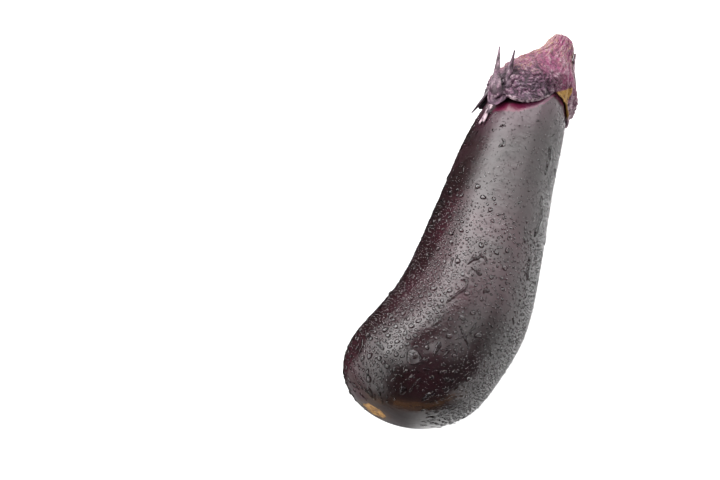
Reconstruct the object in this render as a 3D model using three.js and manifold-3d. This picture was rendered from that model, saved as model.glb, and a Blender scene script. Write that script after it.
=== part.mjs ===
// An eggplant lying on its side, as picked: the fruit, and the calyx that caps its neck with the cut stem on it.
// Millimetres, +Z up, +X towards the stem. A station is a distance along X from the blossom end.
// An angle round the fruit is in degrees, 0 on top and 90 on the -Y side.

import * as THREE from "three";
import Module from "manifold-3d";

// Fruit
const FRUIT_LENGTH = 224.6; // from the blossom end to the rounded top of the neck, inside the calyx
const BULB_RADIUS = 35.8;
const BULB_STATION = 34.6; // the blossom end is rounded up to here, and the taper starts
const BLOSSOM_FULLNESS = 2.6; // 2 is an ellipse, more is blunter
const TAPER_LENGTH = 132;
const TAPER_DROP = 9.6; // how much radius the taper takes over its length
const TAPER_POWER = 1.25;
const NECK_STATION = 158.6; // the neck starts to close here
const NECK_FULLNESS = 3;
const FLATTENING = 0.98; // height of a section over its width
const SIDE_BEND = [[0, -3.8], [28, -10], [68, -16.9], [118, -12.3], [165, -6.3], [205, -4.7], [226, -4]];

// How it lies
const REST_STATION = 104; // lowest point of the underside, under the centre of mass
const FLAT_DEPTH = 1.2; // how far the flat spot is pressed into the underside
const BLOSSOM_RISE = 2; // rise of the underside 90 mm from the rest station, on each side
const NECK_RISE = 4.6;
const RISE_SPAN = 90;
const TIP_SAG = 3; // the blossom tip sits a little below the bulb's axis

// Blossom scar
const SCAR_OFFSET = [5.6, -2.5]; // from the tip of the fruit, along Y and Z
const SCAR_RADIUS = 7.4;
const SCAR_DEPTH = 0.7;

// Calyx and stem
const TOTAL_LENGTH = 248;
const COLLAR_RADIUS = 24.8;
const STEM_RADIUS = 7.8;
const SHOULDER_START = 203; // the calyx narrows to the stem between these stations
const SHOULDER_END = 242.5;
const SKIRT_START = 211; // from here down the surface is ruled towards the lobes' margin
const STEM_END_ROUNDING = 8;
const STEM_END_FULLNESS = 2.2;
const CAP_BEND = [[185, -3.7], [210, -4], [226, -5.1], [238, -6.5], [248, -6.2]];
const CAP_HEIGHT = [[185, 27.8], [210, 28.4], [230, 29.6], [248, 31]];
const NOTCH_STATION = 204.6; // how far down the neck the calyx reaches between its lobes
const LOBE_JOINING = 6; // more leaves a sharper notch between lobes that overlap
const SKIN_GAP = 0.4;
const MIN_WALL = 1.4;
const RIM_BLEND = 12; // the wall thins to its margin over this length
const LIFT_BLEND = 9;
const RIB_HEIGHT = 0.9;
const RIB_SPREAD = 24; // degrees
const FOLD_HEIGHT = 0.75; // slanting folds across the ribs, two families of them
const FOLDS_AROUND = [13, 5];
const FOLD_PITCH = [15, 24]; // along X

// Each lobe: its middle and half its spread in degrees, its reach past the notches, how pointed it is,
// the thickness of its margin, and how far the margin stands off the skin.
const LOBES = [
  { middle: -8, spread: 44, reach: 20.8, point: 1, wall: 3, lift: 1.1 },
  { middle: -36, spread: 34, reach: 20.6, point: 0.8, wall: 3.4, lift: 1.2 },
  { middle: -90, spread: 32, reach: 17, point: 1.2, wall: 1.6, lift: 1.6 },
  { middle: -148, spread: 36, reach: 17, point: 1.3, wall: 1.6, lift: 0.3 },
  { middle: 150, spread: 34, reach: 15, point: 1.3, wall: 1.6, lift: 0.3 },
  { middle: 101, spread: 29, reach: 5.4, point: 0.7, wall: 1.4, lift: 0.2 },
];

// Each sepal tip or strip: points as [station, angle, distance from the calyx's axis], then width and thickness
// at its root and its end.
const BLADES = {
  longSpike: {
    route: [[190, -34, 22.5], [184, -35, 25], [188, -37, 28.4], [198, -40.5, 31], [212, -44.5, 35]],
    width: [11.5, 0.9],
    thickness: [2.4, 0.7],
  },
  shortSpike: {
    route: [[188, -28, 23], [196, -30, 25.2], [204, -31, 28], [211, -29.5, 32]],
    width: [5, 0.8],
    thickness: [2, 0.7],
  },
  leftTip: {
    route: [[198, -72, 22.5], [192, -78, 23.6], [187, -83, 24.8], [182, -87, 26.4]],
    width: [8, 1],
    thickness: [1.6, 0.7],
  },
  stemStrip: {
    route: [[212, 94, 20.6], [221, 95, 17.6], [230, 95, 12.8], [240.5, 93, 9.2]],
    width: [6, 4.2],
    thickness: [2.4, 1.1],
  },
  tornStrip: {
    route: [[195, -41, 22.7], [188, -40, 24.1], [181, -39, 24.5], [174.5, -43, 24.1], [167.5, -45.5, 24.4]],
    width: [4, 1.3],
    thickness: [1.4, 0.8],
  },
  tornProng: {
    route: [[178, -41, 24.3], [172, -40, 24.4], [168, -39, 24.5]],
    width: [1.8, 1],
    thickness: [0.9, 0.8],
  },
};

// Mesh fineness
const FRUIT_SIDES = 52;
const FRUIT_RINGS = 50;
const CALYX_SIDES = 66;
const STEM_RINGS = 22;
const SKIRT_RINGS = 9;
const LINING_RINGS = 10;
const BLADE_SIDES = 8;
const BLADE_RINGS = 12;

const mix = (a, b, t) => a + (b - a) * t;
const clamp = (t) => Math.min(1, Math.max(0, t));
const smooth = (from, to, x) => {
  const t = clamp((x - from) / (to - from));
  return t * t * (3 - 2 * t);
};
const radians = (degrees) => (degrees * Math.PI) / 180;

// Height at x of a smooth curve through points [x, height].
function through(points, x) {
  const last = points.length - 2;
  let i = 0;
  while (i < last && x > points[i + 1][0]) i++;
  const slope = (a, b) => (points[b][1] - points[a][1]) / (points[b][0] - points[a][0]);
  const tangent = (k) => slope(Math.max(k - 1, 0), Math.min(k + 1, last + 1));
  const width = points[i + 1][0] - points[i][0];
  const t = clamp((x - points[i][0]) / width);
  return (
    (2 * t ** 3 - 3 * t ** 2 + 1) * points[i][1] +
    (t ** 3 - 2 * t ** 2 + t) * width * tangent(i) +
    (3 * t ** 2 - 2 * t ** 3) * points[i + 1][1] +
    (t ** 3 - t ** 2) * width * tangent(i + 1)
  );
}

// Share of the full radius that is left at a share t of the way into a rounded end.
const rounding = (t, fullness) => Math.sqrt(Math.max(0, 1 - clamp(t) ** fullness));

// ---- Fruit

const taper = (s) => BULB_RADIUS - TAPER_DROP * Math.max(0, (s - BULB_STATION) / TAPER_LENGTH) ** TAPER_POWER;

function fruitHeight(s) {
  const side = s < REST_STATION ? BLOSSOM_RISE : NECK_RISE;
  const rise = side * ((s - REST_STATION) / RISE_SPAN) ** 2;
  const sag = TIP_SAG * (1 - clamp(s / BULB_STATION)) ** 2;
  return FLATTENING * taper(s) + rise - sag - FLAT_DEPTH;
}

function fruitPoint(s, angle) {
  const blossomEnd = rounding((BULB_STATION - s) / BULB_STATION, BLOSSOM_FULLNESS);
  const neckEnd = rounding((s - NECK_STATION) / (FRUIT_LENGTH - NECK_STATION), NECK_FULLNESS);
  const radius = taper(s) * blossomEnd * neckEnd;
  const y = through(SIDE_BEND, s) - radius * Math.sin(radians(angle));
  const z = fruitHeight(s) + radius * FLATTENING * Math.cos(radians(angle));
  return new THREE.Vector3(s, y, z);
}

function fruitNormal(s, angle) {
  const step = 0.05;
  const inside = Math.min(Math.max(s, step), FRUIT_LENGTH - step);
  const along = fruitPoint(inside + step, angle).sub(fruitPoint(inside - step, angle));
  const round = fruitPoint(inside, angle + step).sub(fruitPoint(inside, angle - step));
  return round.cross(along).normalize();
}

// A point moved in where the blossom scar dishes the tip, and up where the flat spot is.
function settled(point) {
  const tip = fruitPoint(0, 0);
  const off = Math.hypot(point.y - tip.y - SCAR_OFFSET[0], point.z - tip.z - SCAR_OFFSET[1]);
  if (point.x < BULB_STATION && off < SCAR_RADIUS) {
    point.x += SCAR_DEPTH * (1 - (off / SCAR_RADIUS) ** 2);
  }
  point.z = Math.max(0, point.z);
  return point;
}

// ---- Closed surfaces made of rings of points, with a pole at each end

function ringSurface(firstPole, rings, lastPole) {
  const sides = rings[0].length;
  const points = [firstPole, ...rings.flat(), lastPole];
  const faces = [];
  const at = (ring, side) => 1 + ring * sides + (side % sides);
  for (let side = 0; side < sides; side++) {
    faces.push(0, at(0, side), at(0, side + 1));
    for (let ring = 0; ring < rings.length - 1; ring++) {
      faces.push(at(ring, side), at(ring + 1, side), at(ring + 1, side + 1));
      faces.push(at(ring, side), at(ring + 1, side + 1), at(ring, side + 1));
    }
    faces.push(points.length - 1, at(rings.length - 1, side + 1), at(rings.length - 1, side));
  }
  const geometry = new THREE.BufferGeometry().setFromPoints(points);
  geometry.setIndex(faces);
  return geometry;
}

const anglesOf = (sides) => Array.from({ length: sides }, (_, i) => (360 * i) / sides);

function fruitGeometry() {
  const rings = [];
  for (let ring = 1; ring < FRUIT_RINGS; ring++) {
    const s = (FRUIT_LENGTH * (1 + Math.cos((Math.PI * ring) / FRUIT_RINGS))) / 2;
    rings.push(anglesOf(FRUIT_SIDES).map((angle) => settled(fruitPoint(s, angle))));
  }
  return ringSurface(fruitPoint(FRUIT_LENGTH, 0), rings, settled(fruitPoint(0, 0)));
}

// ---- Calyx and stem

// How much of each lobe an angle sees, from 0 outside it to 1 at its middle.
function lobeShare(lobe, angle) {
  const off = Math.abs(((angle - lobe.middle + 540) % 360) - 180) / lobe.spread;
  return off < 1 ? Math.cos((Math.PI / 2) * off) ** lobe.point : 0;
}

// The largest value among the lobes an angle sees, with neighbours that overlap run together.
const largest = (angle, value) =>
  LOBES.reduce((sum, lobe) => sum + (value(lobe) * lobeShare(lobe, angle)) ** LOBE_JOINING, 0) ** (1 / LOBE_JOINING);

const marginStation = (angle) => NOTCH_STATION - largest(angle, (lobe) => lobe.reach);

// Ribs that run up each lobe's middle to the stem, with slanting folds over them that fade towards its end.
function capRelief(s, angle) {
  const rib = Math.max(...LOBES.map((lobe) => lobeShare({ ...lobe, spread: RIB_SPREAD }, angle) ** 2));
  const [steep, shallow] = FOLDS_AROUND.map((count, i) => radians(angle * count + (360 * s) / FOLD_PITCH[i]));
  const fold = Math.sin(steep) * Math.cos(shallow) + 0.5 * Math.cos(steep + 2 * shallow);
  const fade = smooth(TOTAL_LENGTH, SHOULDER_START, s);
  return mix(0.4, 1, fade) * RIB_HEIGHT * rib + mix(0.2, 1, fade) * FOLD_HEIGHT * fold;
}

function capRadius(s, angle) {
  const shoulder = mix(COLLAR_RADIUS, STEM_RADIUS, smooth(SHOULDER_START, SHOULDER_END, s));
  const intoEnd = (s - TOTAL_LENGTH + STEM_END_ROUNDING) / STEM_END_ROUNDING;
  return (shoulder + capRelief(s, angle)) * rounding(intoEnd, STEM_END_FULLNESS);
}

function aroundCap(s, angle, radius) {
  const y = through(CAP_BEND, s) - radius * Math.sin(radians(angle));
  const z = through(CAP_HEIGHT, s) + radius * Math.cos(radians(angle));
  return new THREE.Vector3(s, y, z);
}

// The lining follows the skin at a small gap, and stands off it near the margin.
function liningPoint(s, angle) {
  const lift = largest(angle, (lobe) => lobe.lift);
  const nearMargin = 1 - smooth(0, LIFT_BLEND, s - marginStation(angle));
  const gap = SKIN_GAP + lift * nearMargin;
  return fruitPoint(s, angle).addScaledVector(fruitNormal(s, angle), gap);
}

// The outside of the calyx, above the notches and on its lobes.
function capPoint(s, angle) {
  const point = aroundCap(s, angle, capRadius(s, angle));
  if (s > NOTCH_STATION + RIM_BLEND) return point;
  const lining = liningPoint(s, angle);
  const normal = fruitNormal(s, angle);
  const wall = point.clone().sub(lining).dot(normal);
  const margin = Math.max(MIN_WALL, largest(angle, (lobe) => lobe.wall));
  const kept = mix(margin, Math.max(wall, MIN_WALL), smooth(0, RIM_BLEND, s - marginStation(angle)));
  return point.addScaledVector(normal, kept - wall);
}

function calyxShell() {
  const angles = anglesOf(CALYX_SIDES);
  const rings = [];
  const span = TOTAL_LENGTH - SKIRT_START;
  for (let ring = 1; ring <= STEM_RINGS; ring++) {
    const s = TOTAL_LENGTH - span * (1 - Math.cos(((Math.PI / 2) * ring) / STEM_RINGS));
    rings.push(angles.map((angle) => capPoint(s, angle)));
  }
  for (let ring = 1; ring <= SKIRT_RINGS; ring++) {
    const t = ring / SKIRT_RINGS;
    rings.push(angles.map((angle) => capPoint(mix(SKIRT_START, marginStation(angle) + 1, t), angle)));
  }
  rings.push(
    angles.map((angle) => {
      const margin = marginStation(angle);
      return capPoint(margin, angle).add(liningPoint(margin, angle)).multiplyScalar(0.5);
    }),
  );
  for (let ring = 0; ring < LINING_RINGS; ring++) {
    const t = Math.sin(((Math.PI / 2) * ring) / LINING_RINGS);
    rings.push(angles.map((angle) => liningPoint(mix(marginStation(angle) + 0.8, FRUIT_LENGTH, t), angle)));
  }
  const innerPole = fruitPoint(FRUIT_LENGTH, 0).add(new THREE.Vector3(SKIN_GAP, 0, 0));
  return ringSurface(aroundCap(TOTAL_LENGTH, 0, 0), rings, innerPole);
}

// A tapering blade along a route, broad across the calyx and thin away from it.
function bladeGeometry({ route, width, thickness }) {
  const curve = new THREE.CatmullRomCurve3(route.map(([s, angle, radius]) => aroundCap(s, angle, radius)));
  const axis = new THREE.Vector3();
  const rings = [];
  for (let ring = 0; ring < BLADE_RINGS; ring++) {
    const t = ring / (BLADE_RINGS - 1);
    const middle = curve.getPoint(t);
    axis.set(middle.x, through(CAP_BEND, middle.x), through(CAP_HEIGHT, middle.x));
    const along = curve.getTangent(t);
    const across = along.clone().cross(middle.clone().sub(axis)).normalize();
    const outward = across.clone().cross(along).normalize();
    rings.push(
      anglesOf(BLADE_SIDES).map((angle) =>
        middle
          .clone()
          .addScaledVector(across, (mix(...width, t) / 2) * Math.cos(radians(angle)))
          .addScaledVector(outward, (mix(...thickness, t) / 2) * Math.sin(radians(angle))),
      ),
    );
  }
  return ringSurface(curve.getPoint(0), rings, curve.getPoint(1).addScaledVector(curve.getTangent(1), 0.4));
}

const wasm = await Module();
wasm.setup();

function solid(geometry) {
  return new wasm.Manifold(
    new wasm.Mesh({
      numProp: 3,
      vertProperties: geometry.getAttribute("position").array,
      triVerts: new Uint32Array(geometry.getIndex().array),
    }),
  );
}

function calyxGeometry() {
  let whole = solid(calyxShell());
  for (const blade of Object.values(BLADES)) {
    whole = whole.add(solid(bladeGeometry(blade)));
  }
  const mesh = whole.getMesh();
  const geometry = new THREE.BufferGeometry();
  geometry.setAttribute("position", new THREE.BufferAttribute(mesh.vertProperties, mesh.numProp));
  geometry.setIndex(new THREE.BufferAttribute(mesh.triVerts, 1));
  return geometry;
}

// ---- The part

function part(name, geometry, color, roughness) {
  geometry.computeVertexNormals();
  const mesh = new THREE.Mesh(geometry, new THREE.MeshStandardMaterial({ color, roughness, metalness: 0 }));
  mesh.name = name;
  return mesh;
}

const eggplant = new THREE.Group();
eggplant.add(part("fruit", fruitGeometry(), 0x2a161c, 0.18));
eggplant.add(part("calyx_and_stem", calyxGeometry(), 0x8a5a78, 0.55));

// The origin is under the middle of the whole, on the surface it lies on.
const box = new THREE.Box3().setFromObject(eggplant);
const middle = box.getCenter(new THREE.Vector3());
eggplant.position.set(-middle.x, -middle.y, -box.min.z);

export default eggplant;
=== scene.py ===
# The looks of an eggplant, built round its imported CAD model: skin, calyx and water.
# Shapes are worked out in millimetres in the growth frame. A station is a distance along X from the
# blossom end. An angle round the fruit is in degrees, 0 on top and 90 on the -Y side. to_frame() turns
# such points into the frame's metres.

import math

import bpy
import numpy as np
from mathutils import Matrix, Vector, noise


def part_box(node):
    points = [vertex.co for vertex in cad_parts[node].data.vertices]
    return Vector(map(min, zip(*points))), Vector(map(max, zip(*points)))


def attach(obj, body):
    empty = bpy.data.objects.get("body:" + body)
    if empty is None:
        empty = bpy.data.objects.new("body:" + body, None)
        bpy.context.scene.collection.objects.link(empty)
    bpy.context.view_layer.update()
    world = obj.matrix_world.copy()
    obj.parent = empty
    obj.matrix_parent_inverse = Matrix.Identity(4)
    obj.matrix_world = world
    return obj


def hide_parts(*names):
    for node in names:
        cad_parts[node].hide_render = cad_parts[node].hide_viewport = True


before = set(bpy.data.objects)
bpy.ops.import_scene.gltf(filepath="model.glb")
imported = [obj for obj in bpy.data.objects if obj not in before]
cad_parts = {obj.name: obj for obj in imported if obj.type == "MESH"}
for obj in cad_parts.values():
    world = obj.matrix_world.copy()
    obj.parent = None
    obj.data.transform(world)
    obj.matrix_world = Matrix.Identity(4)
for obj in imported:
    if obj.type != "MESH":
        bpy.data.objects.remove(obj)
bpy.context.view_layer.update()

MM = 0.001

# ---- Driving dimensions, as in the CAD source

FRUIT_LENGTH = 224.6
BULB_RADIUS = 35.8
BULB_STATION = 34.6
BLOSSOM_FULLNESS = 2.6
TAPER_LENGTH = 132
TAPER_DROP = 9.6
TAPER_POWER = 1.25
NECK_STATION = 158.6
NECK_FULLNESS = 3
FLATTENING = 0.98
SIDE_BEND = [[0, -3.8], [28, -10], [68, -16.9], [118, -12.3], [165, -6.3], [205, -4.7], [226, -4]]
REST_STATION = 104
FLAT_DEPTH = 1.2
BLOSSOM_RISE = 2
NECK_RISE = 4.6
RISE_SPAN = 90
TIP_SAG = 3
SCAR_OFFSET = [5.6, -2.5]
SCAR_RADIUS = 7.4
SCAR_DEPTH = 0.7
TOTAL_LENGTH = 248
COLLAR_RADIUS = 24.8
STEM_RADIUS = 7.8
SHOULDER_START = 203
SHOULDER_END = 242.5
SKIRT_START = 211
STEM_END_ROUNDING = 8
STEM_END_FULLNESS = 2.2
CAP_BEND = [[185, -3.7], [210, -4], [226, -5.1], [238, -6.5], [248, -6.2]]
CAP_HEIGHT = [[185, 27.8], [210, 28.4], [230, 29.6], [248, 31]]
NOTCH_STATION = 204.6
LOBE_JOINING = 6
SKIN_GAP = 0.4
MIN_WALL = 1.4
RIM_BLEND = 12
LIFT_BLEND = 9
RIB_HEIGHT = 0.9
RIB_SPREAD = 24
FOLD_HEIGHT = 0.75
FOLDS_AROUND = [13, 5]
FOLD_PITCH = [15, 24]
# Each lobe: its middle and half its spread in degrees, its reach past the notches, how pointed it is,
# the thickness of its margin, and how far the margin stands off the skin.
LOBES = [
    dict(middle=-8, spread=44, reach=20.8, point=1, wall=3, lift=1.1),
    dict(middle=-36, spread=34, reach=20.6, point=0.8, wall=3.4, lift=1.2),
    dict(middle=-90, spread=32, reach=17, point=1.2, wall=1.6, lift=1.6),
    dict(middle=-148, spread=36, reach=17, point=1.3, wall=1.6, lift=0.3),
    dict(middle=150, spread=34, reach=15, point=1.3, wall=1.6, lift=0.3),
    dict(middle=101, spread=29, reach=5.4, point=0.7, wall=1.4, lift=0.2),
]
# Each sepal tip or strip: its route as points [station, angle, distance from the calyx's axis], its width
# and thickness at its root and its end, how much thicker its middle is than a straight taper, and how far
# its colour is the stem's pink, the grey of the painted shade on the left side and the pale of a cut edge.
BLADES = {
    "longSpike": dict(
        route=[[190, -34, 22.5], [184, -35, 25], [188, -37, 28.4], [198, -40.5, 31], [212, -44.5, 35]],
        width=[11.5, 0.9], thickness=[2.4, 0.7], fullness=1.3, tone=(0.25, 0.5, 0.2),
    ),
    "shortSpike": dict(
        route=[[188, -28, 23], [196, -30, 25.2], [204, -31, 28], [211, -29.5, 32]],
        width=[5, 0.8], thickness=[2, 0.7], fullness=1.2, tone=(0.25, 0.6, 0.1),
    ),
    "leftTip": dict(
        route=[[198, -72, 22.5], [192, -78, 23.6], [187, -83, 24.8], [182, -87, 26.4]],
        width=[8, 1], thickness=[1.6, 0.7], fullness=0.4, tone=(0.1, 0.9, 0.1),
    ),
    "stemStrip": dict(
        route=[[212, 94, 20.6], [221, 95, 17.6], [230, 95, 12.8], [240.5, 93, 9.2]],
        width=[6, 4.2], thickness=[2.4, 1.1], fullness=0.4, tone=(0.4, 0.3, 0.9),
    ),
    "tornStrip": dict(
        route=[
            [195, -41, 22.7],
            [188, -40, 24.1],
            [181, -39, 24.5],
            [174.5, -43, 24.1],
            [167.5, -45.5, 24.4],
        ],
        width=[4, 1.3], thickness=[1.4, 0.8], fullness=0.4, tone=(0.1, 0.0, 2.5),
    ),
    "tornProng": dict(
        route=[[178, -41, 24.3], [172, -40, 24.4], [168, -39, 24.5]],
        width=[1.8, 1], thickness=[0.9, 0.8], fullness=0.4, tone=(0.1, 0.0, 2.5),
    ),
}

# ---- Mesh fineness

SKIN_SIDES = 240
SKIN_RINGS = 280
CALYX_SIDES = 420
STEM_RINGS = 110
SKIRT_RINGS = 76
LINING_RINGS = 12
BLADE_SIDES = 28
BLADE_RINGS = 64

# ---- Relief that the CAD leaves out, millimetres

SKIN_SWELL = 0.16  # slow unevenness of the skin
SKIN_SWELL_LENGTH = 26
SKIN_PUCKER = 0.1  # shallow lengthwise puckers towards the neck
PUCKERS_AROUND = 17
SCAR_ROUGHNESS = 0.35
SCAR_ROUGHNESS_LENGTH = 1.6
SCAR_PAINT = [5.0, -1.0]  # middle of the scar's colour, from the tip of the fruit
# The thin brown band over the scar: its height over the fruit's axis, rise towards -Y and half thickness.
BROWN_BAND = (12.8, 0.19, 3.2)
BROWN_WAVES = 2.5  # how far it wanders up and down
BROWN_WAVE_LENGTH = 8
# Redder patches of skin: station, angle, reach along and round.
LOW_PATCH = (10, -62, 12, 26)
TOP_STREAK = (58, 4, 12, 8)

CELL_HEIGHT = 0.8  # the calyx's large puffed cells between creases
CELL_LENGTH = 4.1
CRINKLE_HEIGHT = 0.4
CRINKLE_LENGTH = 1.7
STREAK_HEIGHT = 0.75  # lengthwise wrinkles that run up to the stem
STREAK_LENGTH = 3.4
STREAK_STRETCH = 4.0
FOLD_SWELL = 0.7
GRAIN_HEIGHT = 0.1
GRAIN_LENGTH = 0.7
MARGIN_FRAYING = 0.7
MARGIN_INSET = 0.6  # from the margin to the last ring of points outside
LINING_INSET = 0.8  # and to the first ring inside
CELL_STRETCH = 0.72  # cells are longer across the lobes than along them
WARP_LENGTH = 7
WARP_AMOUNT = 0.3
FINE_WARP = 0.6
STREAK_SHARPNESS = 2.6
STEMWARD = (198, 222)  # stations between which cells give way to lengthwise wrinkles

# ---- Water

SEED = 11
DROP_HEIGHT = (0.34, 0.44)  # of a drop's width
DROP_POWER = 2.0  # most drops are small ones
PEAR_DROP = (20, 3, 7.4)  # the one very large drop: station, angle and width
# Patches of skin where drops stand thick: station, angle, reach along and round, share of the drops that hold
# there. A negative share keeps a place dry.
BIG_PATCHES = [
    (18, 24, 14, 30, 1.0),
    (34, 0, 12, 34, 1.0),
]
BEAD_PATCHES = [
    (34, -26, 30, 26, 1.0),
    (60, -40, 36, 24, 0.5),
    (20, 20, 25, 30, 0.05),
    (60, 88, 60, 20, 0.2),
    (80, 0, 36, 45, 0.05),
    (105, -45, 50, 18, 0.2),
    (100, 180, 90, 80, 0.15),
]
FINE_PATCHES = [
    (34, -26, 30, 26, 1.0),
    (60, -40, 36, 24, 0.6),
    (22, 76, 20, 30, 1.0),
    (60, 88, 60, 20, 0.7),
    (150, 62, 45, 16, 0.9),
    (186, 64, 18, 12, 0.9),
    (80, 0, 40, 45, 0.05),
    (150, 0, 45, 45, 0.08),
    (105, -45, 60, 18, 0.3),
    (100, 180, 90, 80, 0.15),
    (0, 80, 6, 40, -1.0),
]
DRY_SKIN = 0.012  # share of drops away from every patch
# Drops of each kind: how many, range of widths, last station, patches, and how steep the skin is where only
# half of them hold, as the height of its unit normal.
LARGE_DROPS = [
    (30, (2.6, 4.0), 46, BIG_PATCHES, 0.45),
    (370, (1.6, 3.4), 125, BEAD_PATCHES, 0.55),
]
FINE_DROPS = {
    "fine_drops": (3500, (0.85, 1.8), 115, FINE_PATCHES, -0.1),
    "finer_drops": (3500, (0.5, 1.15), 200, FINE_PATCHES, -0.1),
}
# Sides and rings of a drop in each piece, and the share of the drop through which the skin still shines.
DROP_FINISH = {
    "pear_drop": (40, 14, 0.04),
    "large_drops": (18, 6, 0.45),
    "fine_drops": (8, 3, 0.35),
    "finer_drops": (8, 3, 0.5),
}
DROP_SQUEEZE = (0.82, 1.2)
DROP_SUNK = 0.02  # of its width, that a drop's rim lies inside the skin
DROP_BELLY = 0.12  # and that its closed underside does
TRIES_PER_DROP = 30
STEEPNESS_BLEND = 0.35
FIRST_DROP = 1.5  # station
CALYX_CLEARANCE = 2.5
LOWEST_DROP = 4  # millimetres over the surface it lies on
LEAST_SPACING = 0.56  # between two drops, of their widths together
GROUND_CELL = 3  # side of the squares by which neighbouring water is found
THIN_END = 4.0  # turns round the fruit are measured on no smaller radius than this
WETTED_OFF_SKIN = 0.03
WETTED_REACH = 0.94  # of the way to the water's rim

RUN_SIDES = 12
RUN_STEP = 0.45  # between a run's rings
RUN_LEG = 2.4  # between two bends
RUN_SWAY = 0.6
RUN_SWAY_LENGTH = 1.8
RUN_UNEVENNESS = 0.8  # of its width
RUN_TURN = 1.1  # largest bend at the end of a leg, in radians
RUN_SUNK = 0.15
RUN_STATIONS = (10, 180)
RUN_CLEARANCE = (7, 5, 3)  # from the blossom end, from the calyx, and over LOWEST_DROP
PLACES_PER_LEG = 8
# Runs and raised film edges all over the skin: how many tries, then ranges of length, width and height.
RUN_KINDS = [(26, (4, 9), (1.2, 2.4), (0.4, 0.6)), (70, (1.5, 4), (0.8, 1.6), (0.3, 0.5))]
# The longest runs: the route over the skin as [station, angle], then width and height.
LONG_RUNS = [
    ([[67, -4], [68, 1], [65, 3], [59, 0], [52, -3]], 2.0, 0.9),
    ([[82, 11], [85, 7], [82, 0], [77, -5]], 1.6, 0.7),
    ([[79, -18], [76, -18], [73, -15]], 1.3, 0.6),
    ([[44, 16], [40, 26], [36, 34]], 1.4, 0.55),
    ([[50, 26], [42, 26], [36, 20]], 1.2, 0.5),
    ([[172, 50], [162, 54], [152, 51]], 2.6, 0.9),
    ([[140, 52], [128, 57], [114, 53]], 2.8, 1.0),
    ([[104, 56], [96, 53], [88, 55]], 2.2, 0.8),
    ([[32, 12], [28, 14], [24, 15]], 2.0, 0.8),
    ([[14, 18], [10, 18], [7, 20]], 1.9, 0.7),
]

# ---- Camera and light

CAMERA_AZIMUTH = -66
CAMERA_ELEVATION = 62
CAMERA_DISTANCE = 0.76
CAMERA_TARGET = Vector((-0.0246, 0.0654, 0.0))
CAMERA_LENS = 70
SENSOR_WIDTH = 36

# Soft lights: azimuth and elevation of the middle, half the width and height in degrees, softness, radiance.
LIGHTS = [
    (-22, 20, 122, 37, 0.2, 1.8),
    (-88, 24, 45, 26, 0.5, 1.6),
    (-50, 50, 24, 16, 0.6, 4.8),
    (-2, 38, 33, 11, 0.6, 4.8),
    (-102, 58, 26, 16, 0.6, 2.8),
    (52, 42, 26, 14, 0.7, 1.5),
    (90, 46, 20, 18, 0.6, 0.9),
    (80, 75, 12, 12, 0.6, 3.0),
    (-120, 70, 20, 12, 0.5, 1.2),
]
AMBIENT = 0.17

FLOOR_SIZE = 3.0
FLOOR_GAP = 0.0002  # the fruit rests this far over the floor
FLOOR_GREY = 0.45
FLOOR_GLOW = 0.88
# The two cards in front of the bulb: name, turns from +Y towards -X, distance and height of the near and the
# far edge, shade.
FRONT_WALL = ("front_flag", (62, 156), (85, 0.3), (85, 120), 0.012)
FRONT_GROUND = ("front_ground", (0, 122), (14, -0.1), (140, -0.1), 0.2)
CARD_COLUMNS = 24
CARD_SOFTNESS = 0.25  # share of a card over which each end fades
# The side card: stations of its ends, columns, shade, its section as distance from the fruit's +Y side and
# height, and how much higher it stands beside the neck.
SIDE_ENDS = (6, 200)
SIDE_COLUMNS = 40
SIDE_SHADE = 0.012
SIDE_SECTION = [[-9, 0.3], [9, 0.3], [15, 12], [21, 30], [34, 48], [50, 58]]
NECK_RAISE = 1.25


# ---- Formulas


def mix(a, b, t):
    return a + (b - a) * t


def clamp(t):
    return np.clip(t, 0.0, 1.0)


def smooth(start, end, x):
    t = clamp((x - start) / (end - start))
    return t * t * (3 - 2 * t)


def radians(degrees):
    return degrees * (math.pi / 180)


def hermite(t, start, start_slope, end, end_slope):
    """A cubic from start to end, with those slopes there, as t goes from 0 to 1."""
    rising = 3 * t**2 - 2 * t**3
    bulges = (t**3 - 2 * t**2 + t) * start_slope + (t**3 - t**2) * end_slope
    return (1 - rising) * start + rising * end + bulges


def side_of(angle):
    """The same angle from -180 to 180."""
    return (angle + 540) % 360 - 180


def patch_share(s, angle, at_s, at_angle, long, wide):
    """1 in the middle of a soft patch of skin, 0 far from it."""
    return np.exp(-(((s - at_s) / long) ** 2) - (side_of(angle - at_angle) / wide) ** 2)


def through(points, x):
    """Height at x of a smooth curve through points [x, height]."""
    p = np.array(points, float)
    x = np.asarray(x, float)
    last = len(p) - 1
    i = np.clip(np.searchsorted(p[:, 0], x) - 1, 0, last - 1)
    below = np.maximum(np.arange(last + 1) - 1, 0)
    above = np.minimum(np.arange(last + 1) + 1, last)
    tangent = (p[above, 1] - p[below, 1]) / (p[above, 0] - p[below, 0])
    width = p[i + 1, 0] - p[i, 0]
    t = clamp((x - p[i, 0]) / width)
    return hermite(t, p[i, 1], width * tangent[i], p[i + 1, 1], width * tangent[i + 1])


def rounding(t, fullness):
    return np.sqrt(np.maximum(0, 1 - clamp(t) ** fullness))


def taper(s):
    return BULB_RADIUS - TAPER_DROP * np.maximum(0, (s - BULB_STATION) / TAPER_LENGTH) ** TAPER_POWER


def fruit_radius(s):
    blossom_end = rounding((BULB_STATION - s) / BULB_STATION, BLOSSOM_FULLNESS)
    neck_end = rounding((s - NECK_STATION) / (FRUIT_LENGTH - NECK_STATION), NECK_FULLNESS)
    return taper(s) * blossom_end * neck_end


def fruit_height(s):
    side = np.where(s < REST_STATION, BLOSSOM_RISE, NECK_RISE)
    rise = side * ((s - REST_STATION) / RISE_SPAN) ** 2
    sag = TIP_SAG * (1 - clamp(s / BULB_STATION)) ** 2
    return FLATTENING * taper(s) + rise - sag - FLAT_DEPTH


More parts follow.
